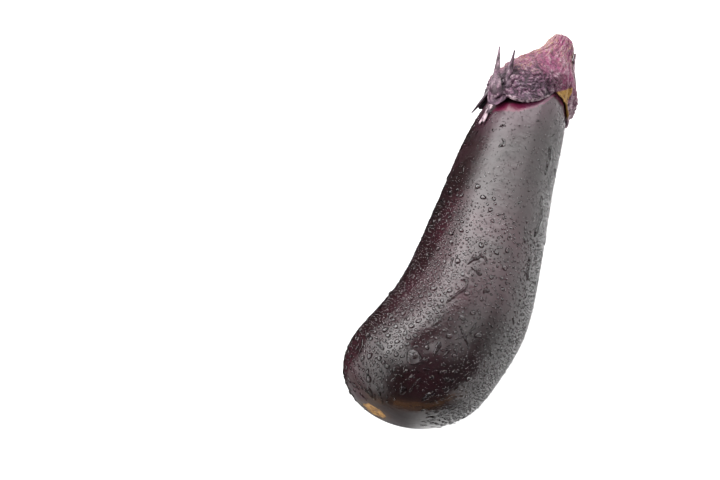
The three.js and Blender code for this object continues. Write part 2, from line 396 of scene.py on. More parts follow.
def fruit_point(s, angle):
    s, angle = np.broadcast_arrays(np.asarray(s, float), np.asarray(angle, float))
    radius = fruit_radius(s)
    y = through(SIDE_BEND, s) - radius * np.sin(radians(angle))
    z = fruit_height(s) + radius * FLATTENING * np.cos(radians(angle))
    return np.stack([s, y, z], -1)


def unit(vectors):
    return vectors / np.maximum(np.linalg.norm(vectors, axis=-1, keepdims=True), 1e-12)


def fruit_directions(s, angle):
    """Unit vectors along the fruit, round it and out of it."""
    step = 0.05
    s, angle = np.broadcast_arrays(np.asarray(s, float), np.asarray(angle, float))
    inside = np.clip(s, step, FRUIT_LENGTH - step)
    along = unit(fruit_point(inside + step, angle) - fruit_point(inside - step, angle))
    around = unit(fruit_point(inside, angle + step) - fruit_point(inside, angle - step))
    out = unit(np.cross(around, along))
    return along, around, out


def lobe_share(lobe, angle, spread=None):
    off = np.abs(side_of(angle - lobe["middle"])) / (spread or lobe["spread"])
    return np.where(off < 1, np.cos((math.pi / 2) * np.minimum(off, 1)).clip(0) ** lobe["point"], 0)


def largest(angle, key):
    shares = sum((lobe[key] * lobe_share(lobe, angle)) ** LOBE_JOINING for lobe in LOBES)
    return shares ** (1 / LOBE_JOINING)


def margin_station(angle):
    return NOTCH_STATION - largest(angle, "reach")


def cap_relief(s, angle):
    rib = np.max([lobe_share(lobe, angle, RIB_SPREAD) ** 2 for lobe in LOBES], axis=0)
    steep = radians(angle * FOLDS_AROUND[0] + 360 * s / FOLD_PITCH[0])
    shallow = radians(angle * FOLDS_AROUND[1] + 360 * s / FOLD_PITCH[1])
    fold = np.sin(steep) * np.cos(shallow) + 0.5 * np.cos(steep + 2 * shallow)
    fade = smooth(TOTAL_LENGTH, SHOULDER_START, s)
    return mix(0.4, 1, fade) * RIB_HEIGHT * rib + mix(0.2, 1, fade) * FOLD_HEIGHT * fold


def cap_radius(s, angle):
    shoulder = mix(COLLAR_RADIUS, STEM_RADIUS, smooth(SHOULDER_START, SHOULDER_END, s))
    into_end = (s - TOTAL_LENGTH + STEM_END_ROUNDING) / STEM_END_ROUNDING
    return (shoulder + cap_relief(s, angle)) * rounding(into_end, STEM_END_FULLNESS)


def around_cap(s, angle, radius):
    s, angle, radius = np.broadcast_arrays(*(np.asarray(v, float) for v in (s, angle, radius)))
    y = through(CAP_BEND, s) - radius * np.sin(radians(angle))
    z = through(CAP_HEIGHT, s) + radius * np.cos(radians(angle))
    return np.stack([s, y, z], -1)


def lining_point(s, angle):
    """The calyx's inside, which follows the skin at a small gap and stands off it near the margin."""
    near_margin = 1 - smooth(0, LIFT_BLEND, s - margin_station(angle))
    gap = SKIN_GAP + largest(angle, "lift") * near_margin
    return fruit_point(s, angle) + fruit_directions(s, angle)[2] * gap[..., None]


def cap_point(s, angle):
    """The calyx's outside, above the notches and on its lobes."""
    s, angle = np.broadcast_arrays(np.asarray(s, float), np.asarray(angle, float))
    point = around_cap(s, angle, cap_radius(s, angle))
    out = fruit_directions(s, angle)[2]
    wall = ((point - lining_point(s, angle)) * out).sum(-1)
    margin = np.maximum(MIN_WALL, largest(angle, "wall"))
    kept = mix(margin, np.maximum(wall, MIN_WALL), smooth(0, RIM_BLEND, s - margin_station(angle)))
    move = np.where(s > NOTCH_STATION + RIM_BLEND, 0, kept - wall)
    return point + out * move[..., None]


# ---- Noise, mesh and material helpers


def noise_at(points, length, seed=0.0):
    """Smooth noise, about -1 to 1, over lumps of that length."""
    moved = np.asarray(points, float).reshape(-1, 3) / length + seed * 17.3
    values = np.array([noise.noise(Vector(p)) for p in moved])
    return values.reshape(np.shape(points)[:-1])


def cells_at(points, length, seed=0.0):
    """0 on the creases between cells of that length, 1 inside the cells."""
    moved = np.asarray(points, float).reshape(-1, 3) / length + seed * 17.3
    values = np.empty(len(moved))
    for i, p in enumerate(moved):
        near = noise.voronoi(Vector(p))[0]
        values[i] = near[1] - near[0]
    return smooth(0, 0.42, values.reshape(np.shape(points)[:-1]))


def make_object(name, vertices, faces, material, attributes=None):
    """A smooth-shaded mesh object in the frame, from growth-frame millimetres."""
    mesh = bpy.data.meshes.new(name)
    mesh.from_pydata((to_frame(vertices)).tolist(), [], faces)
    for key, values in (attributes or {}).items():
        layer = mesh.attributes.new(key, "FLOAT", "POINT")
        layer.data.foreach_set("value", np.asarray(values, np.float32).ravel())
    mesh.shade_smooth()
    mesh.materials.append(material)
    obj = bpy.data.objects.new(name, mesh)
    bpy.context.scene.collection.objects.link(obj)
    return obj


def to_frame(points):
    return (np.asarray(points, float) + GROWTH_OFFSET) * MM


def growth_offset():
    """Where the growth frame's origin is in the frame, in millimetres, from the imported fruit's box."""
    low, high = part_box("fruit")
    s, angle = np.meshgrid(np.linspace(0, FRUIT_LENGTH, 400), np.linspace(0, 360, 360))
    y = fruit_point(s, angle)[..., 1]
    middle = (low.y + high.y) / 2 / MM
    return np.array([high.x / MM - FRUIT_LENGTH, middle - (y.min() + y.max()) / 2, 0.0])


GROWTH_OFFSET = growth_offset()


def ring_faces(first, rings, sides):
    """Faces of rings of points from +X towards -X, with a pole before the first and after the last."""
    faces = []
    start = first + 1
    for ring in range(rings - 1):
        a = start + ring * sides
        b = a + sides
        for side in range(sides):
            after = (side + 1) % sides
            faces.append((a + side, b + side, b + after, a + after))
    last = start + (rings - 1) * sides
    for side in range(sides):
        after = (side + 1) % sides
        faces.append((first, start + side, start + after))
        faces.append((last + sides, last + after, last + side))
    return faces


def grid_faces(rows, columns):
    faces = []
    for row in range(rows - 1):
        for k in range(columns - 1):
            a = row * columns + k
            faces.append((a, a + 1, a + 1 + columns, a + columns))
    return faces


class Nodes:
    """A short way to write a material's or the world's nodes."""

    def __init__(self, tree):
        self.tree = tree
        self.tree.nodes.clear()

    def add(self, kind, **settings):
        node = self.tree.nodes.new(kind)
        for key, value in settings.items():
            setattr(node, key, value)
        return node

    def link(self, source, target):
        self.tree.links.new(source, target)

    def put(self, value, socket):
        """Links a socket, or sets a number, vector or colour."""
        if isinstance(value, bpy.types.NodeSocket):
            self.link(value, socket)
        else:
            socket.default_value = value

    def fill(self, node, values):
        """Puts a value on each named input of a node."""
        for name, value in values.items():
            self.put(value, node.inputs[name])

    def math(self, operation, a, b=0.0, clamped=False):
        node = self.add("ShaderNodeMath", operation=operation, use_clamp=clamped)
        self.put(a, node.inputs[0])
        self.put(b, node.inputs[1])
        return node.outputs[0]

    def times(self, a, b):
        return self.math("MULTIPLY", a, b)

    def ramp(self, value, low, high, to_low=0.0, to_high=1.0):
        node = self.add("ShaderNodeMapRange", interpolation_type="SMOOTHSTEP")
        ends = {"From Min": low, "From Max": high, "To Min": to_low, "To Max": to_high}
        self.fill(node, {"Value": value, **ends})
        return node.outputs["Result"]

    def blend(self, share, a, b):
        node = self.add("ShaderNodeMix", data_type="RGBA", blend_type="MIX")
        self.put(share, node.inputs["Factor"])
        self.put(a, node.inputs[6])
        self.put(b, node.inputs[7])
        return node.outputs[2]

    def layered(self, color, layers):
        """A colour with others laid over it in turn, each by its share."""
        for share, over in layers:
            color = self.blend(share, color, over)
        return color

    def attribute(self, name):
        return self.add("ShaderNodeAttribute", attribute_name=name).outputs["Fac"]

    def position(self, scale=(1, 1, 1)):
        """Object coordinates, in millimetres over scale."""
        coordinates = self.add("ShaderNodeTexCoord").outputs["Object"]
        mapping = self.add("ShaderNodeMapping")
        self.fill(mapping, {"Vector": coordinates, "Scale": tuple(1 / (MM * v) for v in scale)})
        return mapping.outputs["Vector"]

    def noise(self, position, length, detail=2.0, distortion=0.0, roughness=0.5):
        node = self.add("ShaderNodeTexNoise")
        kind = {"Detail": detail, "Distortion": distortion, "Roughness": roughness}
        self.fill(node, {"Vector": position, "Scale": 1 / length, **kind})
        return node.outputs["Fac"]

    def bump(self, height, distance_mm, normal=None):
        node = self.add("ShaderNodeBump")
        self.fill(node, {"Strength": 1.0, "Distance": distance_mm * MM, "Height": height})
        if normal:
            self.link(normal, node.inputs["Normal"])
        return node.outputs["Normal"]


def new_material(name):
    material = bpy.data.materials.new(name)
    material.use_nodes = True
    nodes = Nodes(material.node_tree)
    shader = nodes.add("ShaderNodeBsdfPrincipled")
    output = nodes.add("ShaderNodeOutputMaterial")
    nodes.link(shader.outputs["BSDF"], output.inputs["Surface"])
    return material, nodes, shader


# ---- Materials


def skin_color(nodes):
    """The skin's colour, and where its cork scar is."""
    near_black = (0.009, 0.0043, 0.0044, 1)
    purple = (0.0165, 0.0054, 0.0074, 1)
    red_purple = (0.041, 0.0075, 0.0145, 1)
    brown = (0.042, 0.02, 0.01, 1)
    rosy = (0.052, 0.017, 0.03, 1)
    magenta = (0.17, 0.035, 0.085, 1)
    # the band's magenta with painted shade on it
    shaded_magenta = (0.085, 0.006, 0.026, 1)
    pale = (0.1, 0.03, 0.058, 1)
    shadow = (0.008, 0.002, 0.003, 1)
    scar_ring = (0.06, 0.034, 0.018, 1)
    dark_cork = (0.15, 0.066, 0.013, 1)
    light_cork = (0.4, 0.21, 0.045, 1)
    pit = (0.03, 0.012, 0.005, 1)

    place = nodes.position()
    lit_and_pale_side = nodes.attribute("lit_and_pale_side")
    patches = nodes.ramp(nodes.noise(place, 30, 3), 0.4, 0.64)
    streaks = nodes.ramp(nodes.noise(nodes.position((6, 1, 1)), 2.2, 3), 0.35, 0.75)
    uneven = nodes.ramp(nodes.noise(place, 14, 4, 0.5), 0.3, 0.68, 0.35, 1.0)
    blotch = nodes.ramp(nodes.noise(place, 7, 4, 0.5), 0.34, 0.58, 0.3, 1.0)
    frayed = nodes.times(nodes.noise(nodes.position((4, 1, 1)), 2.4, 4, 0.6), 4.5)
    band = nodes.math("ADD", nodes.attribute("band"), frayed)
    ragged = nodes.times(nodes.noise(place, 2.2, 5, 0.8, 0.6), 5.2)
    scar = nodes.math("ADD", nodes.attribute("from_scar"), ragged)
    inside_scar = nodes.ramp(scar, 9.0, 8.0)
    cork = nodes.blend(nodes.ramp(nodes.noise(place, 1.5, 5, 0.5), 0.4, 0.62), dark_cork, light_cork)
    pits = nodes.ramp(nodes.noise(place, 1.1, 3), 0.55, 0.66)
    layers = [
        (patches, purple),
        (nodes.times(streaks, 0.35), purple),
        (nodes.times(nodes.attribute("blush"), uneven), red_purple),
        (nodes.times(nodes.attribute("browned"), blotch), brown),
        (nodes.ramp(band, -24, 3, 0.0, 0.6), rosy),
        # Under the calyx's margin: the magenta band, with painted shade making it maroon where the lifted
        # lobes shade it, paler pink on the other side, and painted shadow in the gap just under the margin.
        (nodes.ramp(band, 2.0, 3.6), nodes.blend(lit_and_pale_side, shaded_magenta, magenta)),
        (nodes.times(nodes.ramp(band, 2.5, 5, 0.0, 0.6), lit_and_pale_side), pale),
        (nodes.times(nodes.ramp(band, 8.2, 9.6), nodes.math("SUBTRACT", 1.0, lit_and_pale_side)), shadow),
        (nodes.times(nodes.ramp(scar, 13.5, 9.0), 0.6), scar_ring),
        (inside_scar, nodes.blend(nodes.times(pits, 0.8), cork, pit)),
    ]
    return nodes.layered(near_black, layers), inside_scar


def skin_material():
    material, nodes, shader = new_material("purple_skin")
    place = nodes.position()
    color, inside_scar = skin_color(nodes)
    mottling = nodes.ramp(nodes.noise(place, 11, 4), 0.3, 0.7, 0.11, 0.2)
    mottling = nodes.math("ADD", mottling, nodes.times(nodes.attribute("misted"), 0.13))
    rough = nodes.math("MAXIMUM", mottling, nodes.times(inside_scar, 0.62))
    grain = nodes.bump(nodes.noise(place, 0.8, 3), 0.04)
    corky = nodes.bump(nodes.times(nodes.noise(place, 0.9, 4), inside_scar), 0.5, grain)
    film = nodes.bump(nodes.noise(place, 5, 2, 0.4), 0.22, corky)
    nodes.fill(shader, {"Base Color": color, "Roughness": rough, "IOR": 1.5, "Normal": film})
    return material


def wetted_material():
    """The same skin under water, where it hardly mirrors anything."""
    material, nodes, shader = new_material("wetted_skin")
    soaked = (0.006, 0.0042, 0.0042, 1)
    color = nodes.blend(0.5, skin_color(nodes)[0], soaked)
    rough = nodes.ramp(nodes.noise(nodes.position(), 11, 4), 0.3, 0.7, 0.15, 0.25)
    nodes.fill(shader, {"Base Color": color, "Roughness": rough, "Specular IOR Level": 0.04})
    return material


def calyx_material():
    material, nodes, shader = new_material("calyx")
    mauve = (0.13, 0.056, 0.098, 1)
    rose = (0.18, 0.05, 0.088, 1)
    salmon = (0.25, 0.115, 0.12, 1)
    magenta = (0.2, 0.034, 0.1, 1)
    grey = (0.036, 0.03, 0.035, 1)
    slate = (0.06, 0.05, 0.068, 1)
    tan = (0.25, 0.15, 0.075, 1)
    dark = (0.014, 0.004, 0.009, 1)
    pale_and_highlight = (0.38, 0.285, 0.315, 1)
    ochre = (0.3, 0.165, 0.038, 1)
    rust = (0.085, 0.035, 0.008, 1)

    place = nodes.position()
    along = nodes.position((3, 1, 1))
    stemward = nodes.attribute("stemward")
    crest = nodes.attribute("crest")
    blots = nodes.ramp(nodes.noise(place, 7, 4, 0.6), 0.36, 0.6)
    cool = nodes.ramp(nodes.noise(place, 4.5, 4, 0.8), 0.45, 0.62)
    cool = nodes.times(cool, nodes.ramp(stemward, 0.42, 0.1))
    dried_stem = nodes.times(nodes.ramp(stemward, 0.4, 0.95), 0.6)
    dried = nodes.math("MAXIMUM", nodes.attribute("dried"), dried_stem)
    dried = nodes.times(dried, nodes.ramp(crest, 0.35, 0.75))
    flecks = nodes.ramp(nodes.noise(along, 1.5, 5, 0.9, 0.65), 0.46, 0.62)
    speckle = nodes.noise(place, 0.7, 4, 0.0, 0.7)
    patchy = nodes.ramp(nodes.noise(place, 2.1, 4, 0.5), 0.42, 0.62, 0.1, 1.0)
    rusted = nodes.ramp(nodes.noise(place, 1.6, 5, 0.8, 0.65), 0.5, 0.64)
    layers = [
        (nodes.ramp(stemward, 0.22, 0.6), rose),
        (nodes.ramp(stemward, 0.72, 0.98), salmon),
        (nodes.times(blots, nodes.attribute("blush")), magenta),
        # Painted shade: greyer on the calyx's left side and on sepal tips that lie in shade.
        (nodes.times(nodes.attribute("left_shade"), nodes.ramp(stemward, 0.42, 0.05)), grey),
        (nodes.times(cool, 0.6), slate),
        # Painted highlight on the ridges and painted shade in the creases, from the wrinkles' crest value.
        (nodes.times(nodes.ramp(crest, 0.55, 0.95), 0.5), pale_and_highlight),
        (nodes.times(flecks, dried), tan),
        (nodes.times(nodes.ramp(crest, 0.5, 0.1), 0.86), dark),
    ]
    # Painted shade along thin crease lines, at two sizes.
    for length, strength in ((3.2, 0.75), (1.3, 0.6)):
        ridge = nodes.math("ABSOLUTE", nodes.math("SUBTRACT", nodes.noise(place, length, 3, 1.2), 0.5))
        painted_crease_line = nodes.times(nodes.ramp(ridge, 0.045, 0.0), nodes.ramp(stemward, 0.75, 0.3, 0.35, strength))
        layers.append((painted_crease_line, dark))
    layers += [
        (nodes.times(nodes.ramp(speckle, 0.5, 0.68), 0.75), dark),
        # Paler, broken into patches, along the front lobes' margin and over the right lobe.
        (nodes.math("MULTIPLY", nodes.attribute("rim"), patchy, True), pale_and_highlight),
        (nodes.attribute("sinus"), nodes.blend(rusted, ochre, rust)),
    ]
    rough = nodes.ramp(nodes.noise(place, 3, 3), 0.3, 0.7, 0.42, 0.62)
    fibres = nodes.bump(nodes.noise(along, 0.5, 3), 0.16)
    nodes.fill(shader, {"Base Color": nodes.layered(mauve, layers), "Roughness": rough})
    nodes.fill(shader, {"Specular IOR Level": 0.25, "Normal": nodes.bump(speckle, 0.22, fibres)})
    return material


def water_material():
    material, nodes, shader = new_material("water")
    ripple = nodes.bump(nodes.noise(nodes.position(), 2.0, 2), 0.02)
    nodes.fill(shader, {"Base Color": (1, 1, 1, 1), "Roughness": 0.02, "Normal": ripple})
    nodes.fill(shader, {"IOR": 1.33, "Transmission Weight": 1})
    return material


# ---- Skin


def angles_of(sides):
    return np.arange(sides) * (360 / sides)


def skin_relief(points, s, angle):
    """How far the skin stands off the smooth form, in millimetres."""
    swell = noise_at(points, SKIN_SWELL_LENGTH, 1) * SKIN_SWELL
    ends = smooth(120, 200, s)
    pucker = np.cos(radians(angle * PUCKERS_AROUND) + 3 * noise_at(points, 30, 2)) * SKIN_PUCKER
    return swell + pucker * ends * np.minimum(1, fruit_radius(s) / 12)


def scar_distance(points, offset):
    tip = fruit_point(0.0, 0.0)
    off = np.hypot(points[..., 1] - tip[1] - offset[0], points[..., 2] - tip[2] - offset[1])
    return np.where(points[..., 0] < BULB_STATION, off, 99.0)


def brown_band(points, s, side):
    """1 on the thin brown band above the scar, which lies nearly level across the blossom end."""
    middle, slope, half_thickness = BROWN_BAND
    radius = fruit_radius(s)
    off = radius * np.cos(radians(side)) - middle - slope * radius * np.sin(radians(side))
    off = off + BROWN_WAVES * noise_at(points, BROWN_WAVE_LENGTH, 31)
    faded = smooth(24, 12, s) * smooth(-70, -30, side) * smooth(80, 60, side)
    return np.exp(-((off / half_thickness) ** 2)) * faded


def skin_attributes(points, s, angle):
    """What the skin's material is told at each point: how far it is past the calyx's margin and from the
    scar, and shares from 0 to 1."""
    side = side_of(angle)
    neck = smooth(100, 135, s)
    sunny = smooth(70, 10, side) * smooth(mix(-64, -50, neck), mix(-34, -20, neck), side)
    sunny = sunny * mix(1, 0.3, neck) * mix(smooth(14, 40, s), smooth(45, 75, s), smooth(-20, 5, side))
    patches = [0.65 * patch_share(s, side, *LOW_PATCH), 0.9 * patch_share(s, side, *TOP_STREAK)]
    shade = mix(7.8, 3.0, smooth(-24, 14, side)) * smooth(-150, -110, side)
    return {
        "band": s - margin_station(angle) + shade,
        # Painted shade: 0 on the side where the lobes shade the band under the calyx, 1 on the lit side,
        # where the band is also paler.
        "lit_and_pale_side": smooth(-8, 16, side),
        "from_scar": scar_distance(points, SCAR_PAINT),
        "browned": brown_band(points, s, side),
        "misted": smooth(90, 160, s),
        "blush": np.max([0.55 * sunny, *patches], axis=0),
    }


def skin_points(s, angle):
    """The skin with its relief, the dished scar and the flat spot."""
    base = fruit_point(s, angle)
    out = fruit_directions(s, angle)[2]
    points = base + out * skin_relief(base, s, angle)[..., None]
    scar = scar_distance(base, SCAR_OFFSET)
    points[..., 0] += SCAR_DEPTH * np.maximum(0, 1 - (scar / SCAR_RADIUS) ** 2)
    rough = noise_at(base, SCAR_ROUGHNESS_LENGTH, 3) * SCAR_ROUGHNESS
    points[..., 0] += rough * smooth(SCAR_RADIUS, SCAR_RADIUS * 0.8, scar)
    points[..., 0] = np.maximum(points[..., 0], 0.0)
    points[..., 2] = np.maximum(points[..., 2], 0.0)
    return points


def make_skin():
    stations = (FRUIT_LENGTH * (1 + np.cos(math.pi * np.arange(1, SKIN_RINGS) / SKIN_RINGS))) / 2
    s, angle = np.meshgrid(stations, angles_of(SKIN_SIDES), indexing="ij")
    rings = skin_points(s, angle)
    poles = skin_points(np.array([FRUIT_LENGTH, 0.0]), np.array([0.0, 0.0]))
    points = np.vstack([poles[:1], rings.reshape(-1, 3), poles[1:]])
    all_s = np.concatenate([[FRUIT_LENGTH], s.ravel(), [0.0]])
    all_angle = np.concatenate([[0.0], angle.ravel(), [0.0]])
    faces = ring_faces(0, SKIN_RINGS - 1, SKIN_SIDES)
    return make_object("skin", points, faces, skin_material(), skin_attributes(points, all_s, all_angle))


# ---- Calyx and stem


def calyx_wrinkles(points, s, angle):
    """Relief of the calyx in millimetres, and its crest value from 0 in a crease to 1 on a ridge."""
    warp = np.stack([noise_at(points, WARP_LENGTH, 4 + i) for i in range(3)], -1)
    fine_warp = np.stack([noise_at(points, CRINKLE_LENGTH, 14 + i) for i in range(3)], -1)
    warped = points + warp * WARP_LENGTH * WARP_AMOUNT + fine_warp * FINE_WARP
    squeezed = warped * np.array([1, CELL_STRETCH, CELL_STRETCH])
    cells = cells_at(squeezed, CELL_LENGTH, 7)
    crinkles = cells_at(squeezed, CRINKLE_LENGTH, 8)
    turn = radians(angle) + 0.04 * warp[..., 0]
    rolled = np.stack([s / STREAK_STRETCH, COLLAR_RADIUS * np.cos(turn), COLLAR_RADIUS * np.sin(turn)], -1)
    streaks = np.abs(noise_at(rolled + fine_warp * 0.5, STREAK_LENGTH, 11))
    streaks = 1 - clamp(streaks * STREAK_SHARPNESS)
    folds = noise_at(points, WARP_LENGTH, 10)
    grain = noise_at(points, GRAIN_LENGTH, 9)
    stemward = smooth(*STEMWARD, s)
    crumple = 0.52 * cells + 0.48 * crinkles
    crest = clamp(mix(crumple, 0.25 + 0.3 * crinkles + 0.5 * streaks, stemward))
    pillow = (cells - 0.6) * CELL_HEIGHT + (crinkles - 0.6) * CRINKLE_HEIGHT + folds * FOLD_SWELL
    pulled = (streaks - 0.3) * STREAK_HEIGHT * mix(1, 0.5, smooth(222, 240, s))
    pulled = pulled + (crinkles - 0.6) * CRINKLE_HEIGHT * 0.6
    height = mix(pillow, pulled, stemward) * (1 - 0.75 * sinus_share(s, angle)) + grain * GRAIN_HEIGHT
    return height, crest


def sinus_share(s, angle):
    """1 on the bare ochre tissue between the front lobe and the right one, 0 elsewhere."""
    side = side_of(angle)
    past = s - margin_station(angle)
    top = np.minimum((side - 36) * 0.36, (74 - side) * 0.9)
    patch = smooth(-0.2, 0.6, top - past) * smooth(35, 38, side) * smooth(75, 72, side)
    edge = smooth(2.0, 1.3, past) * smooth(64, 69, side) * smooth(90, 84, side)
    return np.maximum(patch, edge)


def calyx_attributes(s, angle, crest):
    """What the calyx's material is told at each point, as shares from about 0 to 1."""
    margin = s - margin_station(angle)
    side = side_of(angle)
    return {
        "stemward": clamp((s - 186) / 56),
        # painted shade on the calyx's left side
        "left_shade": smooth(-26, -44, side) * smooth(-128, -80, side),
        "blush": smooth(-48, 5, side) * smooth(84, 60, side) * smooth(200, 217, s),
        "dried": smooth(14, -14, side) * smooth(-96, -60, side) * smooth(198, 208, s),
        "crest": crest,
        "rim": np.maximum(
            smooth(1.3, 0.2, margin) * smooth(-60, -40, side) * smooth(40, 20, side),
            1.3 * smooth(16, 3, margin) * smooth(68, 82, side) * smooth(150, 125, side),
        ),
        "sinus": sinus_share(s, angle),
    }


def calyx_shell():
    """Points, faces and attributes of the calyx with its stem, outside and inside."""
    angles = angles_of(CALYX_SIDES)
    margin = margin_station(angles)
    grid_s = []
    for ring in range(1, STEM_RINGS + 1):
        share = 1 - math.cos((math.pi / 2) * ring / STEM_RINGS)
        grid_s.append(np.full(CALYX_SIDES, TOTAL_LENGTH - (TOTAL_LENGTH - SKIRT_START) * share))
    for ring in range(1, SKIRT_RINGS + 1):
        grid_s.append(mix(SKIRT_START, margin + MARGIN_INSET, ring / SKIRT_RINGS))
    outer_s = np.array(grid_s)
    outer_angle = np.broadcast_to(angles, outer_s.shape)

    turn = radians(angles)
    torn = np.stack([30 * np.cos(turn), 30 * np.sin(turn), np.zeros(CALYX_SIDES)], -1)
    torn = (noise_at(torn, 2.6, 21) + 0.5 * noise_at(torn, 1.1, 22)) * MARGIN_FRAYING
    margin = margin + torn
    outer_s = outer_s + torn * smooth(margin + 4, margin, outer_s)
    outer = cap_point(outer_s, outer_angle)
    along = np.gradient(outer, axis=0)
    around = np.roll(outer, -1, axis=1) - np.roll(outer, 1, axis=1)
    relief, crest = calyx_wrinkles(outer, outer_s, outer_angle)
    outer = outer + unit(np.cross(along, around)) * relief[..., None]
    edge = (cap_point(margin, angles) + lining_point(margin, angles)) / 2

    depths = np.sin((math.pi / 2) * np.arange(LINING_RINGS) / LINING_RINGS)
    lining_s = mix(margin + LINING_INSET, FRUIT_LENGTH, depths[:, None])
    lining_angle = np.broadcast_to(angles, lining_s.shape)
    lining = lining_point(lining_s, lining_angle)

    poles = np.array([around_cap(TOTAL_LENGTH, 0, 0), fruit_point(FRUIT_LENGTH, 0) + [SKIN_GAP, 0, 0]])
    points = np.vstack([poles[:1], outer.reshape(-1, 3), edge, lining.reshape(-1, 3), poles[1:]])
    all_s = np.concatenate([[TOTAL_LENGTH], outer_s.ravel(), margin, lining_s.ravel(), [FRUIT_LENGTH]])
    all_angle = np.concatenate([[0.0], outer_angle.ravel(), angles, lining_angle.ravel(), [0.0]])
    hidden = np.full(len(points) - 1 - crest.size, 0.3)
    all_crest = np.concatenate([[0.5], crest.ravel(), hidden])
    rings = STEM_RINGS + SKIRT_RINGS + 1 + LINING_RINGS
    return points, ring_faces(0, rings, CALYX_SIDES), calyx_attributes(all_s, all_angle, all_crest)


def curve_points(route, count):
    """Points and tangents of a centripetal Catmull-Rom curve through a route round the calyx."""
    knots = around_cap(*np.array(route, float).T)
    ends = np.vstack([2 * knots[0] - knots[1], knots, 2 * knots[-1] - knots[-2]])
    spans = len(knots) - 1
    where = np.linspace(0, spans, count)
    index = np.minimum(where.astype(int), spans - 1)
    t = (where - index)[:, None]
    near = [ends[index + i] for i in range(4)]
    go = [b - a for a, b in zip(near, near[1:])]
    step = [np.maximum(np.linalg.norm(way, axis=1, keepdims=True), 1e-9) ** 0.5 for way in go]
    slopes = []
    for i in (0, 1):
        both = (near[i + 2] - near[i]) / (step[i] + step[i + 1])
        slopes.append(step[1] * (go[i] / step[i] - both + go[i + 1] / step[i + 1]))
    points = hermite(t, near[1], slopes[0], near[2], slopes[1])
    return points, unit(np.gradient(points, axis=0))


def blade_mesh(name, blade, first):
    """A tapering sepal tip with a keel, an uneven edge and fine wrinkles."""
    middle, along = curve_points(blade["route"], BLADE_RINGS)
    axis = np.stack([middle[:, 0], through(CAP_BEND, middle[:, 0]), through(CAP_HEIGHT, middle[:, 0])], -1)
    across = unit(np.cross(along, middle - axis))
    outward = unit(np.cross(across, along))
    t = np.linspace(0, 1, BLADE_RINGS)[:, None]
    turn = radians(angles_of(BLADE_SIDES))[None, :]
    swell = 1 + 0.3 * np.sin(math.pi * t) + 0.1 * np.sin(t * 19 + len(name)) * (1 - t)
    half_width = mix(*blade["width"], t) / 2 * swell
    half_depth = mix(*blade["thickness"], t) / 2 * (1 + blade["fullness"] * np.sin(math.pi * t))
    keel = 0.25 * np.maximum(0, np.sin(turn)) ** 6
    side = half_width * np.cos(turn)
    depth = half_depth * (np.sin(turn) + keel)
    section = across[:, None, :] * side[..., None] + outward[:, None, :] * depth[..., None]
    points = middle[:, None, :] + section
    relief = noise_at(points * [0.35, 1, 1], 1.3, 12) * (0.16 + 0.3 * (1 - t) ** 2) * (1 - 0.4 * t)
    radial = unit(points - middle[:, None, :])
    points = points + radial * relief[..., None]
    tip = middle[-1] + along[-1] * 0.4
    rows = np.vstack([middle[:1], points.reshape(-1, 3), tip[None]])
    # Random patches of the painted ridge highlight and crease shade along the tip.
    crest = clamp(0.42 + 1.2 * noise_at(rows * [0.3, 1, 1], 1.4, 12))
    count = len(rows)
    out_along = np.concatenate([[0.0], np.repeat(t.ravel(), BLADE_SIDES), [1.0]])
    pink, grey, pale = blade["tone"]
    attributes = {
        "stemward": np.full(count, pink),
        # how much of the left side's painted shade grey the tip takes
        "left_shade": grey * mix(1, 0.6, out_along),
        "crest": crest,
        "rim": pale * smooth(0.3, 0.6, out_along),
        **dict.fromkeys(("blush", "dried", "sinus"), np.zeros(count)),
    }
    return rows, ring_faces(first, BLADE_RINGS, BLADE_SIDES), attributes


def make_calyx():
    points, faces, attributes = calyx_shell()
    for name, blade in BLADES.items():
        rows, more_faces, more = blade_mesh(name, blade, len(points))
        points = np.vstack([points, rows])
        faces = faces + more_faces
        attributes = {key: np.concatenate([attributes[key], more[key]]) for key in attributes}
    return make_object("calyx_with_stem", points, faces, calyx_material(), attributes)


# ---- Water


def turned(length, s):
    """The degrees round the fruit that a length across the skin covers."""
    return np.degrees(length / np.maximum(fruit_radius(s), THIN_END))


def on_skin(s, angle, u, v, height):
    """Points that far along and round the skin from places on it, at a height over it."""
    s, angle = np.asarray(s, float), np.asarray(angle, float)
    there_s = np.clip(s + u, 0.05, FRUIT_LENGTH)
    there_angle = angle + turned(v, s)
    out = fruit_directions(there_s, there_angle)[2]
    relief = skin_relief(fruit_point(s, angle), s, angle)
    return fruit_point(there_s, there_angle) + out * (relief + height)[..., None]


def add_wetted(wet, s, angle, u, v, faces):
    """Adds faces of wetted skin, whose corners lie that far along and round the skin from places on it."""
    first = sum(len(part) for part in wet["points"])
    wet["points"].append(on_skin(s, angle, u, v, WETTED_OFF_SKIN).reshape(-1, 3))
    wet["s"].append((s + u).ravel())
    wet["angle"].append((angle + turned(v, s)).ravel())
    wet["faces"].extend(tuple(first + k for k in face) for face in faces)


def add_wetted_rings(wet, s, angle, u, v, shine):
    """Adds a ring of wetted skin under each drop, from near its rim in to that share of it."""
    count, sides = u.shape
    u, v = (np.concatenate([rim * WETTED_REACH, rim * shine], axis=1) for rim in (u, v))
    faces = []
    for a in range(0, 2 * count * sides, 2 * sides):
        for side in range(sides):
            after = (side + 1) % sides
            faces.append((a + side, a + sides + side, a + sides + after, a + after))
    add_wetted(wet, s, angle, u, v, faces)


